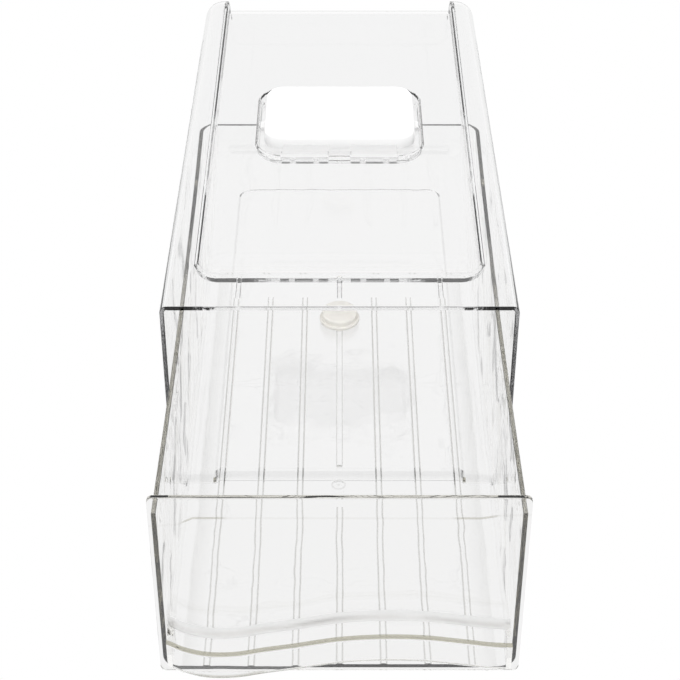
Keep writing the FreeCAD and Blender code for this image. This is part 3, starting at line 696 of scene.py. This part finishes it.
class FrontForm:
    """Shape of the drawer's front: a plate with a wavy finger hood across it."""

    def __init__(self, settings):
        self.drop = mm(settings.hood_drop)
        self.wall = mm(settings.hood_wall)
        self.half = mm(settings.hood_half)
        self.fillet = mm(settings.fillet)

    def profile(self, x, closed, hooded):
        """Closed outline in depth and height at one place across the front.

        Where hooded is 0 it is the plate alone. Where the hood is closed it is a
        solid end cheek, and elsewhere a shelf with a skirt below its edge. The
        plate's corners are arcs, so its outline shortens towards its ends.
        """
        wave = float(wave_height(x))
        cut = float(corner_cut(x))
        top, low = PLATE_TOP - cut, PLATE_LOW + cut
        under = wave - self.drop
        tip = HOOD_TIP if hooded else PLATE_FACE
        inner = tip + self.wall if hooded else PLATE_FACE
        hollow = 0.0 if closed else 1.0
        roof = under if closed else wave - self.wall
        line = float(np.interp(x, *PARTING.T))
        k, lip, g = EDGE_ROUND, HOOD_LIP * hooded, self.fillet * hooded
        bend, turn, foot = ROOF_BEND * hollow, ROOF_ROUND * hollow, SKIRT_ROUND * hollow
        # Extra points on the skirt and the shelf, where the painted shade on the lip and on the hood's edge
        # ends.
        lifts = (LIP_RISE - 0.1, LIP_RISE + 2 * GAP, self.drop - 0.9, self.drop - CREST_DROP - GAP)
        skirt = [(tip, under + lift * hooded) for lift in lifts]
        shelf = [(tip + run * hooded, wave) for run in (CREST_RUN - 0.1, CREST_RUN + GAP)]
        shelf += [(PLATE_FACE - g - 2 * GAP * hooded, wave)]
        face = [(PLATE_FACE, wave + g + 2 * GAP * hooded), (PLATE_FACE, top - 2 * EDGE_ROUND)]
        # Points on the plate's back that carry the painted shade of the parting line.
        parting = [(PLATE_BACK, line + lift) for lift in (0.8, 0.3, -0.3, -0.8)]
        return np.concatenate([
            arc(PLATE_BACK - k, low + k, k, 0, -90, 4),
            arc(PLATE_FACE + k, low + k, k, -90, -180, 4),
            arc(PLATE_FACE - bend, roof - bend, bend, 0, 90, 5),
            arc(inner + turn, roof - turn, turn, 90, 180, 4),
            arc(inner - foot, under + foot, foot, 0, -90, 4),
            arc(tip + lip, under + lip, lip, -90, -180, 4), skirt,
            arc(tip + lip, wave - lip, lip, 180, 90, 7), shelf,
            arc(PLATE_FACE - g, wave + g, g, -90, 0, 9), face,
            arc(PLATE_FACE + k, top - k, k, 180, 90, 4),
            arc(PLATE_BACK - k, top - k, k, 90, 0, 4), [(PLATE_BACK, top - 2 * EDGE_ROUND)], parting])

    def frost(self, x, d, z):
        """How dull each point is: the soft bend between plate and shelf."""
        rise = z - wave_height(x)
        hood = np.abs(x) < self.half + HAIR
        bend = (d < PLATE_FACE + HAIR) & (d > PLATE_FACE - self.fillet - GAP)
        return np.where(hood & bend & (rise > -GAP / 2) & (rise < self.fillet + GAP / 2), 1.0, 0.0)

    def edges(self, x, d, z):
        """Painted shade: darkens the plate's top edge, the hood's edge, its lip low on the skirt at the left
        and a faint parting line.
        """
        wave = wave_height(x)
        hood = np.abs(x) < self.half + HAIR
        crest = hood & (z > wave - CREST_DROP) & (z < wave + HAIR) & (d < HOOD_TIP + CREST_RUN)
        lip = hood & (d < HOOD_TIP + HAIR) & (z < wave - self.drop + LIP_RISE)
        parting = (d > PLATE_BACK - HAIR) & (np.abs(z - np.interp(x, *PARTING.T)) < PARTING_HALF)
        rim = z > PLATE_TOP - corner_cut(x) - EDGE_ROUND - HAIR
        value = np.where(crest, 1.0, 0.0) + np.where(rim, RIM_SHADE, 0.0)
        value = value + np.where(lip, LIP_SHADE * window(x, *LIP_SPAN), 0.0)
        return value + np.where(parting, PARTING_SHADE + PARTING_MORE * window(np.abs(x), *PARTING_SPAN), 0.0)


def front_mesh(form):
    """The front's outline carried across its width, and two small feet below it.

    The outlines lie close together at the plate's round corners and at the
    hood's end cheeks, and evenly between them.
    """
    turn = PLATE_HALF - PLATE_ROUND * (1 - np.sin(np.radians(np.linspace(90, 0, 8))))
    end = [(x, True, 0) for x in turn]
    end += [(form.half + 2 * HAIR, True, 0)]
    end += [(form.half - run, True, 1) for run in (0.0, 0.3, form.wall)]
    end += [(form.half - form.wall - 2 * HAIR, False, 1)]
    middle = form.half - form.wall - 0.6
    places = [(-x, closed, hooded) for x, closed, hooded in end]
    places += [(x, False, 1) for x in np.linspace(-middle, middle, HOOD_LINES)]
    places += end[::-1]
    outlines = [form.profile(*place) for place in places]
    across = np.array([place[0] for place in places])
    sections = np.array(outlines)
    rows, cols = sections.shape[:2]
    verts = np.dstack([np.repeat(across[:, None], cols, 1), sections]).reshape(-1, 3)
    faces = quads(rows, cols, wrap=True)
    low = PLATE_LOW - FOOT_GAP
    sole = [(0.0, FOOT_LOW), (FOOT_R - FOOT_ROUND, FOOT_LOW), (FOOT_R, FOOT_LOW + FOOT_ROUND),
            (FOOT_R, low), (0.0, low)]
    for x in (-FOOT_X, FOOT_X):
        foot, sides = revolve(sole, x, (PLATE_FACE + PLATE_BACK) / 2, 24)
        faces = np.concatenate([faces, sides + len(verts)])
        verts = np.concatenate([verts, foot])
    ring = np.arange(cols)
    return weld(verts, faces, (ring[::-1], ring + (rows - 1) * cols))


# ------------------------------------------------------------------ stop button
BASE_FLAT, BASE_LOW, BASE_TOP, BASE_UNDER, BASE_OVER = 9.9, 6.4, 8.2, 0.5, 0.6
KNOB_R, KNOB_TOP, KNOB_ROUND = 9.3, 11.3, 1.1
DISH_R, DISH_DROP, DISH_LINES = 7.4, 0.25, (7.4, 5.5, 3.0, 0.0)
# Neck and peg below the base: half width, half length, bottom and top.
STEMS = ((0.95, 1.5, 3.9, BASE_LOW), (0.95, 0.8, 0.5, 3.9))


def button_mesh():
    """Two round tiers with soft edges, on a square peg.

    The top is dished by a parabola: DISH_DROP (1 - (radius / DISH_R) squared).
    """
    dish = np.array(DISH_LINES)
    seam = [(KNOB_R + 0.1, BASE_TOP), (KNOB_R - 0.2, BASE_TOP + 0.1)]
    profile = np.concatenate([
        [(0.0, BASE_LOW)], arc(BASE_FLAT, BASE_LOW + BASE_UNDER, BASE_UNDER, -90, 0, 5),
        arc(BASE_FLAT, BASE_TOP - BASE_OVER, BASE_OVER, 0, 90, 6), seam,
        arc(KNOB_R - KNOB_ROUND, KNOB_TOP - KNOB_ROUND, KNOB_ROUND, 0, 90, 8),
        np.column_stack([dish, KNOB_TOP - DISH_DROP * (1 - (dish / DISH_R) ** 2)])])
    verts, faces = revolve(profile, 0.0, BUTTON_D)
    side = np.array([(-1, -1), (1, -1), (1, 1), (-1, 1)], float)
    block = np.array([(3, 2, 1, 0), (4, 5, 6, 7), (0, 1, 5, 4), (1, 2, 6, 5), (2, 3, 7, 6), (3, 0, 4, 7)])
    for half_x, half_d, low, high in STEMS:
        plan = side * (half_x, half_d) + (0.0, BUTTON_D)
        peg = np.concatenate([np.column_stack([plan, np.full(4, z)]) for z in (low, high)])
        faces = np.concatenate([faces, block + len(verts)])
        verts = np.concatenate([verts, peg])
    return weld(verts, faces)


# ------------------------------------------------------------------ plastics
# Waves: height in metres and fineness of a clear surface's slow noise.
CASE_WAVES, DRAWER_WAVES = (0.00001, 14.0), (0.0009, 32.0)
# The second of these is the colour of the painted shade on the tray's rib flanks, slot, gate mark and floor
# bend.
FROST, GROOVE_SHADE, LAMP_PASS = 0.6, (0.42, 0.42, 0.40), 0.93
POLISH_FINENESS, POLISH_SPREAD = 90.0, 0.4
SATIN, TRANSLUCENCY = 0.35, 0.4
GRAIN_FINENESS, GRAIN_SHADE, GRAIN_DEPTH, GRAIN_STRENGTH = 400.0, 0.985, 0.00002, 0.1


def node(tree, kind, **values):
    """Adds one shader node; keyword names are its properties or its input sockets."""
    made = tree.nodes.new(kind)
    for key, value in values.items():
        if hasattr(made, key):
            setattr(made, key, value)
        else:
            made.inputs[key.replace("_", " ")].default_value = value
    return made


def empty_material(name):
    """Material with an output node only, its tree and its link function."""
    mat = bpy.data.materials.new(name)
    mat.use_nodes = True
    mat.node_tree.nodes.clear()
    out = node(mat.node_tree, "ShaderNodeOutputMaterial")
    return mat, mat.node_tree, out, mat.node_tree.links.new


def tinted(tree, link, base, layer_name, shade):
    """Mixes a colour towards a shade by a mesh attribute; base is a socket or None for white."""
    layer = node(tree, "ShaderNodeAttribute", attribute_name=layer_name)
    mix = node(tree, "ShaderNodeMix", data_type="RGBA")
    mix.inputs["A"].default_value = (1.0, 1.0, 1.0, 1.0)
    mix.inputs["B"].default_value = tuple(shade) + (1.0,)
    link(layer.outputs["Fac"], mix.inputs["Factor"])
    if base is not None:
        link(base, mix.inputs["A"])
    return mix.outputs["Result"]


def clear_plastic(name, settings, tint, density, waves):
    """Clear moulded plastic: a refracting surface over an absorbing inside.

    A slow noise on Object coordinates moves the surface as moulded sheet does,
    and a finer one varies the polish. Two mesh attributes mix painted shade into
    its colour at the moulded edges and pips, and at the rib flanks, slot, gate mark
    and floor bend, and a third dulls the soft bends. Lamps shine through it with a faint shadow.
    """
    mat, tree, out, link = empty_material(name)
    height, fineness = waves
    bsdf = node(tree, "ShaderNodeBsdfPrincipled", Transmission_Weight=1.0, IOR=settings.refraction)
    coord = node(tree, "ShaderNodeTexCoord")
    slow = node(tree, "ShaderNodeTexNoise", Scale=fineness, Detail=1.5)
    fine = node(tree, "ShaderNodeTexNoise", Scale=POLISH_FINENESS)
    rough = settings.roughness
    polish = node(tree, "ShaderNodeMapRange", To_Min=(1.0 - POLISH_SPREAD) * rough,
                  To_Max=(1.0 + POLISH_SPREAD) * rough)
    bump = node(tree, "ShaderNodeBump", Strength=1.0, Distance=height)
    frost = node(tree, "ShaderNodeAttribute", attribute_name="frost")
    dull = node(tree, "ShaderNodeMath", operation="MULTIPLY_ADD")
    dull.inputs[1].default_value = FROST
    # Painted shade: two mesh attributes darken the colour at moulded edges, pips, rib flanks, slot, gate
    # mark and floor bend.
    edge = tinted(tree, link, None, "edge", settings.edge_shade)
    colour_socket = tinted(tree, link, edge, "groove", GROOVE_SHADE)
    link(colour_socket, bsdf.inputs["Base Color"])
    link(coord.outputs["Object"], slow.inputs["Vector"])
    link(coord.outputs["Object"], fine.inputs["Vector"])
    link(slow.outputs["Fac"], bump.inputs["Height"])
    link(bump.outputs["Normal"], bsdf.inputs["Normal"])
    link(fine.outputs["Fac"], polish.inputs["Value"])
    link(frost.outputs["Fac"], dull.inputs[0])
    link(polish.outputs["Result"], dull.inputs[2])
    link(dull.outputs[0], bsdf.inputs["Roughness"])
    path = node(tree, "ShaderNodeLightPath")
    through = node(tree, "ShaderNodeBsdfTransparent", Color=(LAMP_PASS, LAMP_PASS, LAMP_PASS, 1.0))
    mix = node(tree, "ShaderNodeMixShader")
    link(path.outputs["Is Shadow Ray"], mix.inputs[0])
    link(bsdf.outputs["BSDF"], mix.inputs[1])
    link(through.outputs["BSDF"], mix.inputs[2])
    link(mix.outputs["Shader"], out.inputs["Surface"])
    absorb = node(tree, "ShaderNodeVolumeAbsorption", Color=tuple(tint) + (1.0,), Density=density)
    link(absorb.outputs["Volume"], out.inputs["Volume"])
    return mat


def white_plastic(name, tone):
    """Satin white plastic that light shines through a little, with a fine grain."""
    mat, tree, out, link = empty_material(name)
    bsdf = node(tree, "ShaderNodeBsdfPrincipled", Roughness=SATIN)
    coord = node(tree, "ShaderNodeTexCoord")
    grain = node(tree, "ShaderNodeTexNoise", Scale=GRAIN_FINENESS)
    mix = node(tree, "ShaderNodeMix", data_type="RGBA")
    mix.inputs["A"].default_value = tuple(GRAIN_SHADE * part for part in tone) + (1.0,)
    mix.inputs["B"].default_value = tuple(tone) + (1.0,)
    bump = node(tree, "ShaderNodeBump", Strength=GRAIN_STRENGTH, Distance=GRAIN_DEPTH)
    glow = node(tree, "ShaderNodeBsdfTranslucent", Color=tuple(tone) + (1.0,))
    blend = node(tree, "ShaderNodeMixShader")
    blend.inputs[0].default_value = TRANSLUCENCY
    link(coord.outputs["Object"], grain.inputs["Vector"])
    link(grain.outputs["Fac"], mix.inputs["Factor"])
    link(mix.outputs["Result"], bsdf.inputs["Base Color"])
    link(grain.outputs["Fac"], bump.inputs["Height"])
    link(bump.outputs["Normal"], bsdf.inputs["Normal"])
    link(bsdf.outputs["BSDF"], blend.inputs[1])
    link(glow.outputs["BSDF"], blend.inputs[2])
    link(blend.outputs["Shader"], out.inputs["Surface"])
    return mat


def plastic(slot):
    """The plastic of one of the record's slots, made on its first use."""
    name = slot + "_finish"
    if name in bpy.data.materials:
        return bpy.data.materials[name]
    s = bpy.context.scene.organizer_plastic
    if slot == "clear_case":
        return clear_plastic(name, s, s.case_tint, s.case_density, CASE_WAVES)
    if slot == "clear_drawer":
        return clear_plastic(name, s, s.drawer_tint, s.drawer_density, DRAWER_WAVES)
    return white_plastic(name, s.button if slot == "ivory_plastic" else s.cap)


# ------------------------------------------------------------------ stage
# Lengths in metres, angles in degrees.
FLOOR_REACH, FLOOR_BEHIND, FLOOR_LOW = 1.2, 1.6, 0.0003
CAMERA_AHEAD, CAMERA_HIGH, CAMERA_TILT = 0.6126, 0.5442, 53.2
CAMERA_SHIFT, SENSOR = 0.0007, 36.0
# Softboxes: place, tilt, turn, size and the setting that holds the power.
LAMPS = (
    ((0.0, 0.1, 1.9), 0.0, 0.0, 2.2, "top_lamp"),
    ((-1.3, -0.3, 1.2), 0.0, -50.0, 1.0, "side_lamps"),
    ((1.3, -0.3, 1.2), 0.0, 50.0, 1.0, "side_lamps"),
    ((0.0, -1.6, 0.9), 62.0, 0.0, 1.2, "front_lamp"))
# Light crosses many clear walls one behind another, so its paths are long.
CLEAR_BOUNCES, OTHER_BOUNCES = 40, 24


def floor_material(settings):
    """Glowing floor: the camera sees one level and every other ray another."""
    mat, tree, out, link = empty_material("floor")
    path = node(tree, "ShaderNodeLightPath")
    level = node(tree, "ShaderNodeMapRange", To_Min=settings.lit, To_Max=settings.shown)
    glow = node(tree, "ShaderNodeEmission")
    link(path.outputs["Is Camera Ray"], level.inputs["Value"])
    link(level.outputs["Result"], glow.inputs["Strength"])
    link(glow.outputs[0], out.inputs["Surface"])
    return mat


def build_floor(settings):
    """Flat floor just below the case."""
    side, ahead, behind = FLOOR_REACH, -FLOOR_REACH, FLOOR_BEHIND
    corners = [(-side, ahead), (side, ahead), (side, behind), (-side, behind)]
    mesh = bpy.data.meshes.new("floor")
    mesh.from_pydata([(x, y, -FLOOR_LOW) for x, y in corners], [], [(0, 1, 2, 3)])
    mesh.materials.append(floor_material(settings))
    floor = bpy.data.objects.new("floor", mesh)
    bpy.context.scene.collection.objects.link(floor)


def build_world():
    """Plain white world."""
    world = bpy.data.worlds.new("studio")
    world.use_nodes = True
    world.node_tree.nodes.clear()
    back = node(world.node_tree, "ShaderNodeBackground", Color=(1.0, 1.0, 1.0, 1.0), Strength=1.0)
    out = node(world.node_tree, "ShaderNodeOutputWorld")
    world.node_tree.links.new(back.outputs[0], out.inputs["Surface"])
    bpy.context.scene.world = world


def build_lamps(settings):
    """Softboxes overhead, at both sides and in front, hidden from clear plastic."""
    for place, tilt, turn, size, power in LAMPS:
        lamp = bpy.data.objects.new("softbox", bpy.data.lights.new("softbox", "AREA"))
        bpy.context.scene.collection.objects.link(lamp)
        lamp.data.size = size
        lamp.data.energy = getattr(settings, power)
        lamp.location = place
        lamp.rotation_euler = (math.radians(tilt), math.radians(turn), 0.0)
        lamp.visible_transmission = False
        lamp.visible_glossy = False


def build_camera(settings):
    """Camera in front of the drawer, looking down on it."""
    camera = bpy.data.objects.new("camera", bpy.data.cameras.new("camera"))
    bpy.context.scene.collection.objects.link(camera)
    camera.data.lens = settings.lens
    camera.data.sensor_width = SENSOR
    camera.data.shift_x = CAMERA_SHIFT
    camera.location = (0.0, CASE_Y * MM - CAMERA_AHEAD, CAMERA_HIGH)
    camera.rotation_euler = (math.radians(CAMERA_TILT), 0.0, 0.0)
    bpy.context.scene.camera = camera


# ------------------------------------------------------------------ operators
class ORGANIZER_OT_case(bpy.types.Operator):
    """Build the clear case"""
    bl_idname = "organizer.case"
    bl_label = "Case"

    def execute(self, context):
        verts, faces = case_mesh(context.scene.organizer_case)
        # Painted shade on the pips goes into the edge attribute.
        make("case_shell", verts, faces, "clear_case", "case_body", "case", SHARP,
             [("edge", pip_shade)])
        return {"FINISHED"}


class ORGANIZER_OT_tray(bpy.types.Operator):
    """Build the drawer's tray"""
    bl_idname = "organizer.tray"
    bl_label = "Drawer tray"

    def execute(self, context):
        form = TrayForm(context.scene.organizer_drawer)
        verts, faces = tray_mesh(form)
        # Painted shade on rib flanks, slot, gate mark and floor bend goes into an attribute.
        make("drawer_shell", verts, faces, "clear_drawer", "drawer", "drawer_tray", SHARP,
             [("groove", form.groove_shade)])
        return {"FINISHED"}


class ORGANIZER_OT_front(bpy.types.Operator):
    """Build the drawer's front with its finger hood"""
    bl_idname = "organizer.front"
    bl_label = "Drawer front"

    def execute(self, context):
        form = FrontForm(context.scene.organizer_front)
        verts, faces = front_mesh(form)
        # The front's edge attribute carries painted shade; its frost attribute dulls the polish.
        make("drawer_face", verts, faces, "clear_drawer", "drawer", "drawer_front", SHARP,
             [("edge", form.edges), ("frost", form.frost)])
        return {"FINISHED"}


class ORGANIZER_OT_button(bpy.types.Operator):
    """Build the stop button"""
    bl_idname = "organizer.button"
    bl_label = "Stop button"

    def execute(self, context):
        verts, faces = button_mesh()
        make("button_top", verts, faces, "ivory_plastic", "button", "stop_button", SHARP_TURNED)
        return {"FINISHED"}


class ORGANIZER_OT_cap(bpy.types.Operator):
    """Give the vent cap its plastic"""
    bl_idname = "organizer.cap"
    bl_label = "Vent cap"

    def execute(self, context):
        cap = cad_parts["vent_cap"]
        cap.data.materials.clear()
        cap.data.materials.append(plastic("white_plastic"))
        return {"FINISHED"}


class ORGANIZER_OT_stage(bpy.types.Operator):
    """Set up the floor, world, lamps, camera and light path limits"""
    bl_idname = "organizer.stage"
    bl_label = "Stage"

    def execute(self, context):
        settings = context.scene.organizer_stage
        build_floor(settings)
        build_world()
        build_lamps(settings)
        build_camera(settings)
        context.scene.view_settings.view_transform = "Standard"
        cycles = context.scene.cycles
        cycles.max_bounces = CLEAR_BOUNCES
        cycles.transmission_bounces = CLEAR_BOUNCES
        cycles.glossy_bounces = OTHER_BOUNCES
        cycles.transparent_max_bounces = OTHER_BOUNCES
        return {"FINISHED"}


class ORGANIZER_PT_panel(bpy.types.Panel):
    """Lists the pieces, the stage and their settings"""
    bl_idname = "ORGANIZER_PT_panel"
    bl_label = "Organizer"
    bl_space_type = "VIEW_3D"
    bl_region_type = "UI"
    bl_category = "Organizer"

    def draw(self, context):
        for operator in OPERATORS:
            self.layout.operator(operator.bl_idname)
        for name, group in GROUPS.items():
            box = self.layout.box()
            settings = getattr(context.scene, name)
            for prop in group.__annotations__:
                box.prop(settings, prop)


OPERATORS = (ORGANIZER_OT_case, ORGANIZER_OT_tray, ORGANIZER_OT_front, ORGANIZER_OT_button,
             ORGANIZER_OT_cap, ORGANIZER_OT_stage)
GROUPS = {
    "organizer_case": CaseSettings,
    "organizer_drawer": DrawerSettings,
    "organizer_front": FrontSettings,
    "organizer_plastic": PlasticSettings,
    "organizer_stage": StageSettings,
}


def register():
    """Registers the classes and puts the settings on the scene."""
    for cls in (*GROUPS.values(), *OPERATORS, ORGANIZER_PT_panel):
        bpy.utils.register_class(cls)
    for name, group in GROUPS.items():
        setattr(bpy.types.Scene, name, PointerProperty(type=group))


def unregister():
    """Takes the settings off the scene and unregisters the classes."""
    for name in GROUPS:
        delattr(bpy.types.Scene, name)
    for cls in (ORGANIZER_PT_panel, *reversed(OPERATORS), *reversed(GROUPS.values())):
        bpy.utils.unregister_class(cls)


def main():
    """Builds every piece and the stage."""
    register()
    bpy.ops.organizer.case()
    bpy.ops.organizer.tray()
    bpy.ops.organizer.front()
    bpy.ops.organizer.button()
    bpy.ops.organizer.cap()
    bpy.ops.organizer.stage()


if __name__ == "__main__":
    main()
